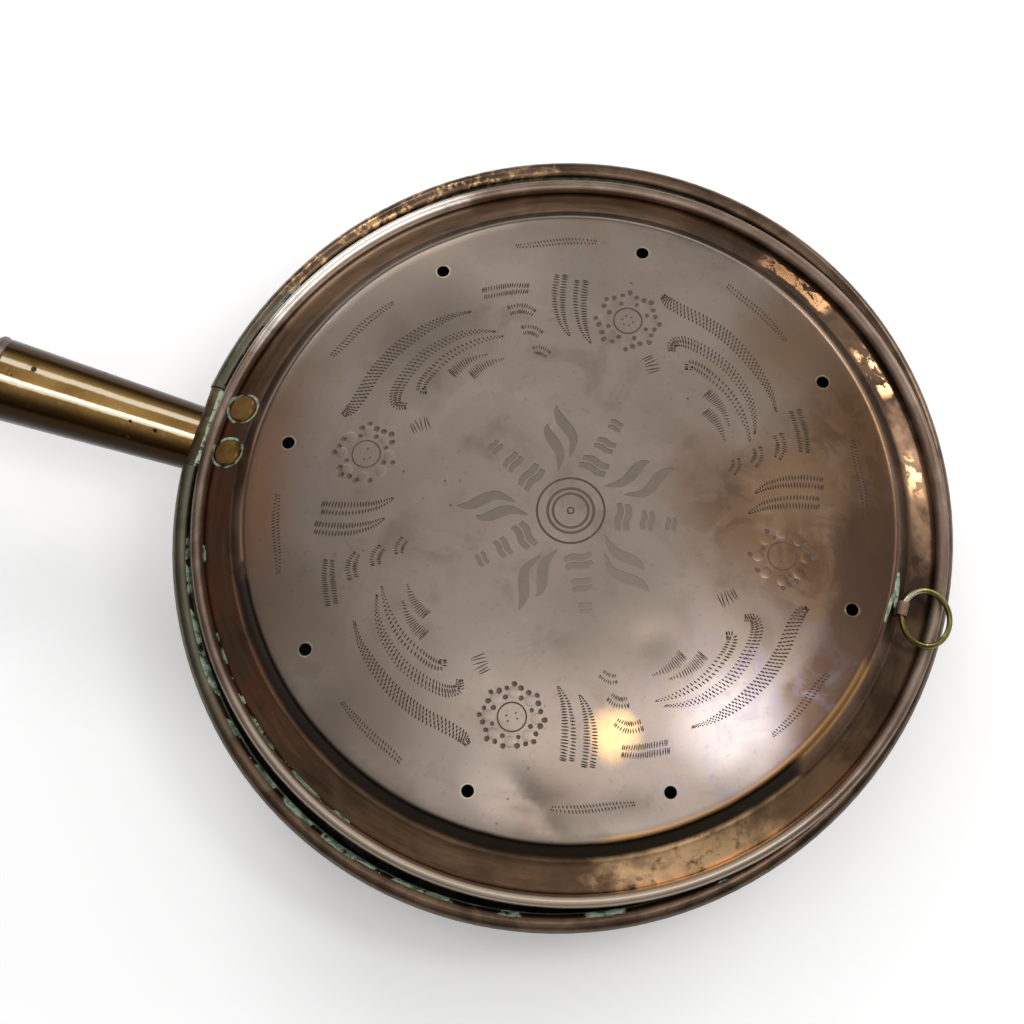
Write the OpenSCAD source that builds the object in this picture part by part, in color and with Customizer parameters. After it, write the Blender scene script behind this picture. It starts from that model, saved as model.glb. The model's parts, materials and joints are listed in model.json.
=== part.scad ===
// Bed warming pan: a copper pan and hinged lid on a long turned handle.
// Millimetres, +Z up. The origin is the centre of the pan's flat base, the
// handle runs out along -X, and the lid's lift ring is at the +X side.

/* [Pan] */
// Diameter over the rolled rim of the pan, along the handle
pan_d = 297; // [285:1:305]
// How much further the rim reaches at each side than at the front
rim_spread = 5; // [0:0.5:6]
// Height of the rim roll's centre over the table
rim_z = 70; // [62:1:80]
// Thickness of the rolled rim
rim_roll_d = 7.6; // [7:0.2:8.2]
// Copper sheet of the pan
pan_sheet = 1.2; // [1:0.1:1.4]
// Radius of the bend between the base and the wall
pan_bend_r = 32; // [26:1:35]
// How far the wall leans out between base and rim
wall_lean = 4.6; // [3:0.2:7]

/* [Lid] */
// How far the lid's roll lies inside the pan's roll
lid_inset = 3.1; // [2.8:0.1:3.6]
// How far the lid sits away from the hinge side
lid_forward = 2.6; // [2:0.1:2.8]
// Thickness of the lid's rolled edge
lid_roll_d = 5.2; // [4.8:0.1:5.4]
// Copper sheet of the lid
lid_sheet = 0.9; // [0.7:0.1:1.1]
// Width of the sloping flange inside the roll
flange_w = 11.5; // [10.5:0.5:13]
// Rise of the sloping flange
flange_rise = 7.5; // [6.5:0.5:8.5]
// How far the step wall leans in
step_lean = 4.7; // [4:0.1:6]
// Height of the step wall
step_rise = 8.6; // [7:0.2:10]
// Rise of the domed panel
dome_rise = 17; // [10:1:24]
// Bend radius at the foot and the top of the step wall
lid_bend_r = 2.4; // [1.8:0.2:3]
// Number of vent holes
vent_count = 8; // [6:1:10]
// Diameter of a vent hole
vent_d = 4.8; // [3:0.2:6]
// Distance from the panel's edge to the ring of vents
vent_inset = 13.1; // [11:0.5:20]

/* [Lid hinge] */
// Width of the notch in the rim for the hinge barrel
hinge_w = 33.2; // [28:0.4:38]
// Diameter of the hinge pin
pin_d = 3; // [2.6:0.1:3.1]
// Wall of the hinge barrel
barrel_wall = 1.8; // [1.4:0.1:1.9]
// Thickness of the hinge leaf
leaf_t = 1.2; // [0.8:0.1:1.3]
// Distance between the two hinge rivets
rivet_gap = 18.4; // [15:0.4:20]
// Diameter of a hinge rivet's head
rivet_head_d = 10.8; // [9:0.2:11.4]
// Thickness of a hinge rivet's head
rivet_head_t = 1.1; // [0.8:0.1:1.5]
// Diameter of a hinge rivet's shank
rivet_shank_d = 5; // [4:0.2:6]

/* [Lift ring] */
// Diameter over the lift ring
lift_ring_d = 23.2; // [20:0.2:25]
// Wire of the lift ring
lift_wire_d = 2.2; // [1.8:0.1:2.3]
// Width of the strap that holds the ring
strap_w = 5.4; // [4:0.2:6]
// Metal of the strap
strap_t = 0.7; // [0.5:0.1:0.8]
// Height of the strap on the slope of the step wall
strap_up = 3.7; // [3.4:0.1:5]
// Length of the strap's clinched ends behind the wall
strap_foot = 6.4; // [4:0.2:6.8]
// Turn of the strap round from the front of the lid
strap_turn = 3.2; // [0:0.2:8]

/* [Handle socket] */
// Diameter of the socket where it meets the pan
socket_small_d = 25; // [22:0.5:27]
// Diameter over the socket's mouth
socket_mouth_d = 32; // [29:0.5:35]
// Length of the socket from the rim to its mouth
socket_len = 80.5; // [64:0.5:96]
// Brass sheet of the socket
socket_wall = 1.2; // [1:0.1:1.6]
// Width of the plate that carries the socket
plate_w = 58; // [50:1:66]
// Height of the plate that carries the socket
plate_h = 36; // [34:1:38]
// Thickness of the plate that carries the socket
plate_t = 1.6; // [1.2:0.1:2]
// Diameter of a plate rivet's head
plate_rivet_d = 7; // [6:0.5:8]

/* [Handle] */
// Length of the wood outside the socket
handle_len = 670; // [560:10:760]
// Diameter in the middle of the shaft
shaft_d = 27; // [24:0.5:30]
// Diameter of the slender necks
neck_d = 21; // [18:0.5:23]
// Diameter of the turned swelling behind the shoulder
swell_d = 35; // [31:0.5:38]
// Diameter of the knob at the end
knob_d = 34; // [30:0.5:38]
// Length of the tenon inside the socket
tenon_len = 46; // [36:1:54]
// Diameter of the nail through socket and tenon
nail_d = 2.2; // [1.8:0.1:3]
// Distance of the nail from the socket's mouth
nail_back = 13.6; // [8:0.2:18]

/* [Turning] */
// Length of the rounded shoulder against the socket
shoulder_len = 11; // [9:0.5:14]
// How far the shoulder stands out past the socket
shoulder_stand = 0.5; // [0.2:0.1:1.5]
// Length of a turned bead
bead_len = 8; // [6:0.5:11]
// Height of a turned bead over its grooves
bead_stand = 4; // [2:0.5:5]
// Length of the swelling behind the shoulder
swell_len = 92; // [70:1:110]
// Length of the slender waist in front of the knob
waist_len = 30; // [20:1:40]
// Length of the knob
knob_len = 52; // [40:1:60]
// Diameter of the flat at the knob's end
knob_flat_d = 12; // [10:0.5:16]

/* [Hanging ring] */
// Diameter over the screw eye
eye_d = 13; // [12:0.5:15]
// Wire of the screw eye
eye_wire_d = 3; // [2.4:0.1:3.2]
// Diameter over the hanging ring
hang_ring_d = 33; // [28:0.5:38]
// Wire of the hanging ring
hang_wire_d = 3.4; // [2.8:0.1:3.6]

/* [Fits] */
// Gap between a fixed piece and its seat
seat_gap = 0.05; // [0.02:0.01:0.08]
// Radial gap of a turning fit
run_gap = 0.08; // [0.05:0.01:0.1]
// Gap between pieces that move past each other
move_gap = 0.35; // [0.3:0.05:0.5]

/* [Hidden] */
fine = 180;
mid = 72;
small = 36;
bend_steps = 7;
dome_steps = 18;
turn_steps = 9;
over = 1;

copper = "#8a6a5c";
old_brass = "#a08440";
iron = "#4a4440";
dark_wood = "#4a2a20";

// the pan's rim
rim_r = rim_roll_d / 2;
rim_ring_r = pan_d / 2 - rim_r;
rim_hollow_r = rim_r - pan_sheet;
wall_top_r = rim_ring_r - rim_r + pan_sheet;
pan_foot_r = wall_top_r - wall_lean;
// the quarters of the pan begin this far out, and a disc closes the middle
base_in_r = pan_foot_r / 2;
base_disc_r = (base_in_r + pan_foot_r - pan_bend_r) / 2;

// the rim has been pulled oval: it is four quarter arcs, and their centres lie
// this far from the middle, those of the flatter front and back across it
oval_off = rim_spread / (2 - sqrt(2));
back_ring_r = rim_ring_r + oval_off;

// the hinge line runs through the rim's centre at the ends of the notch
hinge_x = oval_off - sqrt(pow(back_ring_r, 2) - pow(hinge_w / 2, 2));
barrel_r = pin_d / 2 + run_gap + barrel_wall;
barrel_len = hinge_w - 2 * move_gap;
notch_floor = rim_z - max(rim_r, barrel_r) - move_gap;
pin_play = rim_hollow_r - pin_d / 2 - seat_gap;
pin_reach = sqrt(pow(back_ring_r, 2) - pow(oval_off - hinge_x - pin_play, 2));
wire_stop = pin_reach + over;

// the lid's roll rests just over the pan's roll at the front
lid_roll_r = lid_roll_d / 2;
lid_ring_r = rim_ring_r - lid_inset;
lid_hollow_r = lid_roll_r - lid_sheet;
seat_reach = rim_r + lid_roll_r + move_gap;
lid_roll_z = rim_z + sqrt(pow(seat_reach, 2) - pow(lid_inset - lid_forward, 2));

// the lid's section, from the roll inwards: flange, step wall and dome. The
// sheet leaves the roll at this angle round it and bites this far into its tube
flange_turn = 212;
flange_bite = 0.15;
flange_grip = lid_hollow_r + flange_bite;
flange_start = [lid_ring_r + flange_grip * cos(flange_turn), lid_roll_z + flange_grip * sin(flange_turn)];
step_foot = flange_start + [-flange_w, flange_rise];
panel_edge = step_foot + [-step_lean, step_rise];
flange_slope = atan2(flange_rise, flange_w);
dome_r = (pow(panel_edge[0], 2) + pow(dome_rise, 2)) / (2 * dome_rise);
dome_z = panel_edge[1] + dome_rise - dome_r;
dome_half = asin(panel_edge[0] / dome_r);
vent_ring_r = panel_edge[0] - vent_inset;
// the vents were stepped off by eye, so each is a few degrees off
vent_slips = [-0.5, 2.5, 3, -1.5, 1.5, -0.5, -2.5, -8];

// the leaf runs in under the roll and lies against the flange
leaf_w = barrel_len - 2 * over;
leaf_top = lid_roll_z - lid_roll_r - seat_gap;
leaf_in = flange_w - lid_bend_r;
rivet_r = step_foot[0] + flange_w / 2;
rivet_turn = asin(rivet_gap / 2 / rivet_r);
rove_t = 1;
rove_edge = 1.5;

// the lift ring pivots in a strap on the step wall
lift_wire_r = lift_wire_d / 2;
lift_r = lift_ring_d / 2 - lift_wire_r;
strap_sag = lift_r - sqrt(pow(lift_r, 2) - pow(strap_w / 2, 2));
strap_in = lift_wire_r + strap_sag + run_gap;
strap_out = strap_in + strap_t;
strap_rise = strap_out + seat_gap;
step_tilt = atan2(step_rise, step_lean);
strap_seat = step_foot + strap_up * [-cos(step_tilt), sin(step_tilt)];
pivot_r = strap_seat[0] + strap_rise * sin(step_tilt);
pivot_z = strap_seat[1] + strap_rise * cos(step_tilt);
// the ring lies outwards and rests just over the lid's roll
rest_drop = pivot_z - lid_roll_z;
rest_run = lid_ring_r - pivot_r;
rest_far = sqrt(pow(rest_run, 2) + pow(rest_drop, 2));
lift_droop = atan2(rest_drop, rest_run) - asin((lid_roll_r + lift_wire_r + move_gap) / rest_far);

// the socket is tucked up under the pan's rim
socket_z = rim_z - rim_r - move_gap - socket_small_d / 2;
wall_angle = atan2(wall_lean, rim_z);
plate_z = rim_z - rim_r - seat_gap - plate_h / 2;
socket_start = wall_r(socket_z) + plate_t + 2 * seat_gap;
mouth_x = -(pan_d / 2 + socket_len);
socket_run = -mouth_x - socket_start + plate_t;
socket_flare = (socket_mouth_d - socket_small_d) / 2 / socket_run;
plate_rivet_y = plate_w / 2 - plate_rivet_d;
plate_rivet_z = plate_h / 2 - plate_rivet_d;
plate_shank_d = plate_rivet_d / 2;
rivet_crown = 0.6;

// the handle's turning, from the socket's mouth to the knob: each hump is
// [length, greatest radius] and ends in a groove of the neck's radius
neck_r = neck_d / 2;
bead_r = neck_r + bead_stand;
shoulder_r = socket_mouth_d / 2 + shoulder_stand;
shoulder_edge = 1;
shaft_len = handle_len - shoulder_len - 4 * bead_len - swell_len - waist_len - knob_len;
humps = [[bead_len, bead_r], [swell_len, swell_d / 2], [bead_len, bead_r], [shaft_len, shaft_d / 2],
         [bead_len, bead_r], [waist_len, neck_r + bead_stand / 2], [bead_len, bead_r]];
handle_end = mouth_x - handle_len;
nail_x = mouth_x + nail_back;
nail_turn = 12;

// the screw eye and the ring that hangs in it
eye_wire_r = eye_wire_d / 2;
eye_r = eye_d / 2 - eye_wire_r;
eye_x = handle_end - eye_r - eye_wire_r - over;
eye_shank_len = 22;
hang_wire_r = hang_wire_d / 2;
hang_r = hang_ring_d / 2 - hang_wire_r;
hang_pivot_z = socket_z - eye_r + eye_wire_r + hang_wire_r + move_gap;

// Points of an arc about a centre.
function arc(centre, r, from, to, steps) =
    [for (i = [0:steps]) let (turn = from + (to - from) * i / steps) centre + r * [cos(turn), sin(turn)]];

// The unit vector from one point towards another.
function toward(a, b) = (b - a) / norm(b - a);

// A rounded corner at b on the way from a to c, drawn on the side that lies
// `depth` to the left of the path.
function bend(a, b, c, r, depth) =
    let (back = toward(b, a), on = toward(b, c),
         side = sign(on[0] * back[1] - on[1] * back[0]),
         half = acos(back * on) / 2,
         centre = b + toward([0, 0], back + on) * r / sin(half),
         foot = b + back * r / tan(half), head = b + on * r / tan(half),
         from = atan2(foot[1] - centre[1], foot[0] - centre[0]),
         raw = atan2(head[1] - centre[1], head[0] - centre[0]) - from,
         sweep = raw > 180 ? raw - 360 : raw < -180 ? raw + 360 : raw)
    arc(centre, r - side * depth, from, from + sweep, bend_steps);

// A point moved to the left of the direction from a to b.
function aside(p, a, b, depth) = p + depth * [-(b - a)[1], (b - a)[0]] / norm(b - a);

function reversed(list) = [for (i = [len(list) - 1:-1:0]) list[i]];

// Outside of the pan from the base to the rim, `depth` inwards, for an arc whose
// radii are `out` more.
function pan_path(depth, out) =
    let (foot = [pan_foot_r + out, 0], top = [wall_top_r + out, rim_z])
    concat([[base_in_r + out, depth]], bend([0, 0], foot, top, pan_bend_r, depth), [top - [depth, 0]]);

// Top of the lid from the roll to the middle of the dome, `depth` below it.
function lid_path(depth) =
    let (dome = arc([0, dome_z], dome_r - depth, 90 - dome_half, 90, dome_steps))
    concat([aside(flange_start, flange_start, step_foot, depth)],
           bend(flange_start, step_foot, panel_edge, lid_bend_r, depth),
           bend(step_foot, panel_edge, dome[2], lid_bend_r, depth),
           [for (i = [2:dome_steps]) dome[i]]);

// Reach of the outside of the pan's wall at a height, at the front and back.
function wall_r(z) = pan_foot_r + wall_lean * z / rim_z;

// Distance from the socket's mouth to the start of a hump.
function hump_start(k) = k == 0 ? shoulder_len : hump_start(k - 1) + humps[k - 1][0];

// The handle's stations of [distance, radius].
function handle_stations() =
    concat([[0, shoulder_r - shoulder_edge], [shoulder_len / 4, shoulder_r], [shoulder_len, neck_r]],
           [for (k = [0:len(humps) - 1], half = [1, 2])
               [hump_start(k) + humps[k][0] * half / 2, half == 1 ? humps[k][1] : neck_r]],
           [[handle_len - knob_len / 2, knob_d / 2], [handle_len, knob_flat_d / 2]]);

// A smooth outline of [radius, distance] through stations of [distance, radius].
function eased(stations) =
    [for (k = [0:len(stations) - 2], i = [0:turn_steps])
        let (t = i / turn_steps, a = stations[k], b = stations[k + 1], w = (1 - cos(180 * t)) / 2)
        if (i < turn_steps || k == len(stations) - 2)
        [a[1] + (b[1] - a[1]) * w, a[0] + (b[0] - a[0]) * t]];

module tube_section(r, hollow) {
    difference() {
        circle(r, $fn = small);
        circle(hollow, $fn = small);
    }
}

// Everything on the lid turns about the lid's own centre.
module at_lid() {
    translate([lid_forward, 0, 0]) children();
}

// A place on the flange: local Z stands off the surface, local X runs outwards.
module on_flange(turn, r) {
    rotate([0, 0, turn])
        translate([r, 0, flange_start[1] + (flange_start[0] - r) * tan(flange_slope)])
            rotate([0, flange_slope, 0]) children();
}

// A place on the step wall: local Z stands off the wall, local X runs down it.
module on_step() {
    rotate([0, 0, strap_turn])
        translate([strap_seat[0], 0, strap_seat[1]]) rotate([0, step_tilt, 0]) children();
}

// Sweeps a section along one quarter of the oval. The section adds $out to its
// radii.
module rim_quarter(turn) {
    side = turn % 180 == 90;
    $out = side ? rim_spread - oval_off : oval_off;
    rotate([0, 0, turn]) translate([side ? oval_off : -oval_off, 0, 0]) rotate([0, 0, -45])
        rotate_extrude(angle = 90, $fn = fine) children();
}

// Sweeps a section round the oval.
module round_rim() {
    for (turn = [0, 90, 180, 270]) rim_quarter(turn) children();
}

// Cuts a gap through the back of the rim, from a height up.
module back_gap(width, above) {
    difference() {
        union() children();
        translate([-pan_d, -width / 2, above]) cube([pan_d, width, rim_z]);
    }
}

// The four places of the plate's rivets: local Z stands off the pan's wall.
module plate_rivet_places() {
    for (y = [-1, 1], z = [-1, 1]) {
        height = plate_z + z * plate_rivet_z;
        reach = wall_r(height) + oval_off;
        translate([oval_off, 0, 0]) rotate([0, 0, 180 + asin(y * plate_rivet_y / reach)])
            translate([reach, 0, height]) rotate([0, 90 + wall_angle, 0]) children();
    }
}

// Cuts the holes of the plate's rivets.
module plate_holes() {
    plate_rivet_places()
        cylinder(d = plate_shank_d + 2 * seat_gap, h = 4 * rim_roll_d, center = true, $fn = small);
}

module ring(r, wire_r, steps) {
    rotate_extrude($fn = steps) translate([r, 0]) circle(wire_r, $fn = small);
}

module pan_bowl() {
    color(copper) difference() {
        union() {
            back_gap(hinge_w, notch_floor) {
                cylinder(r = base_disc_r, h = pan_sheet, $fn = fine);
                round_rim() polygon(concat(pan_path(0, $out), reversed(pan_path(pan_sheet, $out))));
            }
            back_gap(hinge_w, notch_floor)
                round_rim() translate([rim_ring_r + $out, rim_z]) tube_section(rim_r, rim_hollow_r);
        }
        plate_holes();
    }
}

module pan_rim_wire() {
    color(iron) back_gap(2 * wire_stop, rim_z - rim_r)
        round_rim() translate([rim_ring_r + $out, rim_z]) circle(rim_hollow_r - seat_gap, $fn = small);
}

module hinge_pin() {
    color(iron) translate([hinge_x, pin_reach, rim_z]) rotate([90, 0, 0])
        cylinder(d = pin_d, h = 2 * pin_reach, $fn = small);
}

module hinge_leaf() {
    color(old_brass) difference() {
        union() {
            translate([hinge_x, barrel_len / 2, rim_z]) rotate([90, 0, 0])
                cylinder(r = barrel_r, h = barrel_len, $fn = small);
            translate([hinge_x, -leaf_w / 2, leaf_top - leaf_t])
                cube([lid_forward - lid_ring_r - hinge_x, leaf_w, leaf_t]);
            intersection() {
                at_lid() rotate_extrude($fn = fine) leaf_section();
                translate([-pan_d / 2, -leaf_w / 2, 0]) cube([pan_d / 2, leaf_w, pan_d]);
            }
        }
        translate([hinge_x, pan_d / 2, rim_z]) rotate([90, 0, 0])
            cylinder(r = pin_d / 2 + run_gap, h = pan_d, $fn = small);
        hinge_rivet_places() rivet_hole();
    }
}

// A hole for a hinge rivet's shank.
module rivet_hole() {
    cylinder(d = rivet_shank_d + 2 * seat_gap, h = 4 * lid_roll_d, center = true, $fn = small);
}

// The leaf's section: level below the roll, then up along the flange's underside.
module leaf_section() {
    top = lid_sheet + seat_gap;
    up = toward(flange_start, step_foot);
    low = aside(flange_start, flange_start, step_foot, top);
    run = (low[1] - leaf_top) / up[1];
    knee = low - up * run;
    inner = aside(flange_start + up * leaf_in, flange_start, step_foot, top);
    drop = aside([0, 0], [0, 0], up, leaf_t);
    knee_low = knee + drop - up * (drop[1] + leaf_t) / up[1];
    polygon([[lid_ring_r + over, leaf_top], knee, inner, inner + drop, knee_low,
             [lid_ring_r + over, leaf_top - leaf_t]]);
}

module hinge_rivet_places() {
    for (side = [-1, 1])
        at_lid() on_flange(180 + side * rivet_turn, rivet_r) children();
}

module hinge_rivets() {
    stack = lid_sheet + leaf_t + 3 * seat_gap + rove_t;
    color(old_brass) hinge_rivet_places() {
        translate([0, 0, seat_gap])
            cylinder(d1 = rivet_head_d, d2 = rivet_head_d - rivet_head_t, h = rivet_head_t, $fn = mid);
        translate([0, 0, -stack]) cylinder(d = rivet_shank_d, h = stack + rivet_head_t, $fn = small);
        translate([0, 0, -stack - rove_t]) cylinder(d = rivet_shank_d + rove_t, h = rove_t, $fn = small);
    }
}

module hinge_roves() {
    color(copper) hinge_rivet_places()
        translate([0, 0, -lid_sheet - leaf_t - 2 * seat_gap - rove_t])
            rove(rivet_shank_d + 2 * rove_edge, rivet_shank_d);
}

module lid() {
    color(copper) at_lid() difference() {
        rotate_extrude($fn = fine) {
            polygon(concat(lid_path(0), reversed(lid_path(lid_sheet))));
            translate([lid_ring_r, lid_roll_z]) tube_section(lid_roll_r, lid_hollow_r);
        }
        for (i = [0:vent_count - 1])
            rotate([0, 0, 360 * i / vent_count + (i < len(vent_slips) ? vent_slips[i] : 0)])
                translate([vent_ring_r, 0, 0]) cylinder(d = vent_d, h = pan_d, $fn = small);
        for (side = [-1, 1]) on_flange(180 + side * rivet_turn, rivet_r) rivet_hole();
        on_step()
            cube([2 * strap_t + 2 * seat_gap, strap_w + 2 * seat_gap, 4 * lid_sheet], center = true);
    }
}

module lid_rim_wire() {
    color(iron) at_lid() translate([0, 0, lid_roll_z]) ring(lid_ring_r, lid_hollow_r - seat_gap, fine);
}

module ring_strap() {
    behind = lid_sheet + seat_gap + strap_t;
    color(copper) at_lid() on_step() {
        difference() {
            union() {
                translate([0, strap_w / 2, strap_rise]) rotate([90, 0, 0])
                    cylinder(r = strap_out, h = strap_w, $fn = small);
                translate([-strap_t, -strap_w / 2, -behind])
                    cube([2 * strap_t, strap_w, behind + strap_rise]);
            }
            translate([0, strap_w, strap_rise]) rotate([90, 0, 0])
                cylinder(r = strap_in, h = 2 * strap_w, $fn = small);
        }
        translate([-strap_foot / 2, -strap_w / 2, -behind]) cube([strap_foot, strap_w, strap_t]);
    }
}

module lift_ring() {
    color(old_brass) at_lid() rotate([0, 0, strap_turn]) translate([pivot_r, 0, pivot_z])
        rotate([0, lift_droop, 0]) translate([lift_r, 0, 0]) ring(lift_r, lift_wire_r, mid);
}

module socket_plate() {
    color(old_brass) difference() {
        intersection() {
            plate_cone(plate_t + seat_gap);
            translate([-pan_d, 0, plate_z]) rotate([0, 90, 0]) linear_extrude(pan_d) plate_outline();
        }
        plate_cone(seat_gap);
        plate_holes();
    }
}

// A cone that stands `off` the leaning back wall, down to below the plate.
module plate_cone(off) {
    low = plate_z - plate_h;
    clear = oval_off + off / cos(wall_angle);
    translate([oval_off, 0, low])
        cylinder(r1 = wall_r(low) + clear, r2 = wall_r(rim_z) + clear, h = rim_z - low, $fn = fine);
}

// The plate's outline: a rectangle with round ends.
module plate_outline() {
    r = plate_h / 2;
    for (y = [-1, 1]) translate([0, y * (plate_w / 2 - r)]) circle(r, $fn = mid);
    square([plate_h, plate_w - 2 * r], center = true);
}

module plate_rivets() {
    head_t = plate_rivet_d / 4;
    depth = pan_sheet + rove_t + 3 * seat_gap;
    color(old_brass) plate_rivet_places() {
        translate([0, 0, plate_t + 2 * seat_gap])
            cylinder(d1 = plate_rivet_d, d2 = plate_rivet_d * rivet_crown, h = head_t, $fn = small);
        translate([0, 0, -depth]) cylinder(d = plate_shank_d, h = depth + plate_t + head_t, $fn = small);
        translate([0, 0, -depth - rove_t]) cylinder(d = plate_shank_d + rove_t, h = rove_t, $fn = small);
    }
}

module plate_roves() {
    color(copper) plate_rivet_places() translate([0, 0, -pan_sheet - 2 * seat_gap - rove_t])
        rove(plate_rivet_d, plate_shank_d);
}

// A burr washer.
module rove(d, shank_d) {
    difference() {
        cylinder(d = d, h = rove_t, $fn = small);
        translate([0, 0, -over]) cylinder(d = shank_d + 2 * seat_gap, h = rove_t + 2 * over, $fn = small);
    }
}

module socket() {
    inner = 2 * socket_wall;
    color(old_brass) difference() {
        translate([mouth_x, 0, socket_z]) rotate([0, 90, 0]) difference() {
            cylinder(d1 = socket_mouth_d, d2 = socket_small_d, h = socket_run, $fn = mid);
            cylinder(d1 = socket_mouth_d - inner, d2 = socket_small_d - inner, h = socket_run, $fn = mid);
        }
        plate_cone(plate_t + 2 * seat_gap);
        nail_hole();
    }
}

module nail_hole() {
    translate([nail_x, 0, socket_z]) rotate([-nail_turn, 0, 0])
        cylinder(d = nail_d + 2 * seat_gap, h = socket_mouth_d, center = true, $fn = small);
}

module handle() {
    tenon_r = socket_mouth_d / 2 - socket_wall - seat_gap;
    color(dark_wood) difference() {
        translate([mouth_x, 0, socket_z]) rotate([0, -90, 0]) {
            rotate_extrude($fn = mid) polygon(concat([[0, 0]], eased(handle_stations()), [[0, handle_len]]));
            translate([0, 0, -tenon_len])
                cylinder(r1 = tenon_r - tenon_len * socket_flare, r2 = tenon_r, h = tenon_len, $fn = mid);
        }
        nail_hole();
        translate([handle_end, 0, socket_z]) rotate([0, 90, 0])
            cylinder(r = eye_wire_r + seat_gap, h = 2 * eye_shank_len, center = true, $fn = small);
    }
}

module handle_nail() {
    color(iron) translate([nail_x, 0, socket_z]) rotate([-nail_turn, 0, 0])
        cylinder(d = nail_d, h = socket_mouth_d - 2 * nail_back * socket_flare, center = true, $fn = small);
}

module hanging_eye() {
    color(old_brass) translate([eye_x, 0, socket_z]) {
        rotate([90, 0, 0]) ring(eye_r, eye_wire_r, mid);
        translate([eye_r, 0, 0]) rotate([0, 90, 0]) cylinder(r = eye_wire_r, h = eye_shank_len, $fn = small);
    }
}

module hanging_ring() {
    color(old_brass) translate([eye_x, 0, hang_pivot_z - hang_r])
        rotate([0, 90, 0]) ring(hang_r, hang_wire_r, mid);
}

pan_bowl();
pan_rim_wire();
hinge_pin();
socket_plate();
plate_rivets();
plate_roves();
socket();
handle();
handle_nail();
hanging_eye();
hanging_ring();
lid();
lid_rim_wire();
hinge_leaf();
hinge_rivets();
hinge_roves();
ring_strap();
lift_ring();
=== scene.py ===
import json
import math
import random
import bpy
from mathutils import Matrix, Vector, noise

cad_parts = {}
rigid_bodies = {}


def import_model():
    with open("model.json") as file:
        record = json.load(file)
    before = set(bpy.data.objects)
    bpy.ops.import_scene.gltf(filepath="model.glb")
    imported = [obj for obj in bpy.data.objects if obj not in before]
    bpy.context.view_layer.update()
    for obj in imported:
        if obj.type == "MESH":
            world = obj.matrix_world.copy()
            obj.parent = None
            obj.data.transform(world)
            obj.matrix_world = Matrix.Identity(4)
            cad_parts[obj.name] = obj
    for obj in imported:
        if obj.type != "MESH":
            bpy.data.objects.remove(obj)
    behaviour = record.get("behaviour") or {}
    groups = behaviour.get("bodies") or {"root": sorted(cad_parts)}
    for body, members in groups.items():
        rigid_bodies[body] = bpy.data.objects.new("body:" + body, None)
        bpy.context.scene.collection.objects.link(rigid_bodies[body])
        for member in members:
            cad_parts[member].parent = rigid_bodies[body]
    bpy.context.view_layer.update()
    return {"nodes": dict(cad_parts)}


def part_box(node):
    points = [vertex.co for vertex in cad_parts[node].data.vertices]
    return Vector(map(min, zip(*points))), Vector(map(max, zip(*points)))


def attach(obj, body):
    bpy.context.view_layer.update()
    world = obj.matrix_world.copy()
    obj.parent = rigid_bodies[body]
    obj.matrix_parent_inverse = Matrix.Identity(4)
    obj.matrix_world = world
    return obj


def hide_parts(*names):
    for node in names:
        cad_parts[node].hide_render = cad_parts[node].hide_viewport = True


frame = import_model()
nodes = frame["nodes"]
mm = 0.001
fullTurn = 2 * math.pi
chance = random.Random(7)
print("frame loaded")


# hand tools

def deselect():
    if bpy.context.object and bpy.context.object.mode != "OBJECT":
        bpy.ops.object.mode_set(mode="OBJECT")
    bpy.ops.object.select_all(action="DESELECT")


def pickUp(obj):
    deselect()
    obj.select_set(True)
    bpy.context.view_layer.objects.active = obj


def edit(obj):
    # into edit mode with all of it selected
    pickUp(obj)
    bpy.ops.object.mode_set(mode="EDIT")
    bpy.ops.mesh.select_all(action="SELECT")


def leaveEdit():
    bpy.ops.object.mode_set(mode="OBJECT")


def fit(obj, kind, **settings):
    # add one modifier and apply it
    pickUp(obj)
    modifier = obj.modifiers.new(kind.lower(), kind)
    for key, value in settings.items():
        setattr(modifier, key, value)
    bpy.ops.object.modifier_apply(modifier=modifier.name)


def drawLine(name, points):
    # one vertex, drawn out into a line of edges
    deselect()
    bpy.ops.mesh.primitive_plane_add(size=mm)
    obj = bpy.context.object
    obj.name = name
    bpy.ops.object.mode_set(mode="EDIT")
    bpy.ops.mesh.select_mode(type="VERT")
    bpy.ops.mesh.select_all(action="SELECT")
    bpy.ops.mesh.merge(type="CENTER")
    bpy.ops.transform.translate(value=points[0])
    for here, there in zip(points, points[1:]):
        bpy.ops.mesh.extrude_region_move(TRANSFORM_OT_translate={"value": Vector(there) - Vector(here)})
    leaveEdit()
    return obj


def spinRound(obj, steps, centre, axis=(0, 0, 1)):
    edit(obj)
    bpy.ops.mesh.spin(steps=steps, angle=fullTurn, center=centre, axis=axis)
    bpy.ops.mesh.select_all(action="SELECT")
    bpy.ops.mesh.remove_doubles(threshold=0.01 * mm)
    bpy.ops.mesh.normals_make_consistent(inside=False)
    leaveEdit()


def flipAll(obj):
    edit(obj)
    bpy.ops.mesh.flip_normals()
    leaveEdit()


def joinAll(name, objs):
    deselect()
    for obj in objs:
        obj.select_set(True)
    bpy.context.view_layer.objects.active = objs[0]
    bpy.ops.object.join()
    objs[0].name = name
    return objs[0]


def smooth(obj, degrees):
    pickUp(obj)
    bpy.ops.object.shade_smooth_by_angle(angle=math.radians(degrees))


def settle(obj):
    # the finished piece: origin at the frame's own, no turn, no scale
    pickUp(obj)
    bpy.ops.object.transform_apply(location=True, rotation=True, scale=True)


# shader tools

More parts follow.
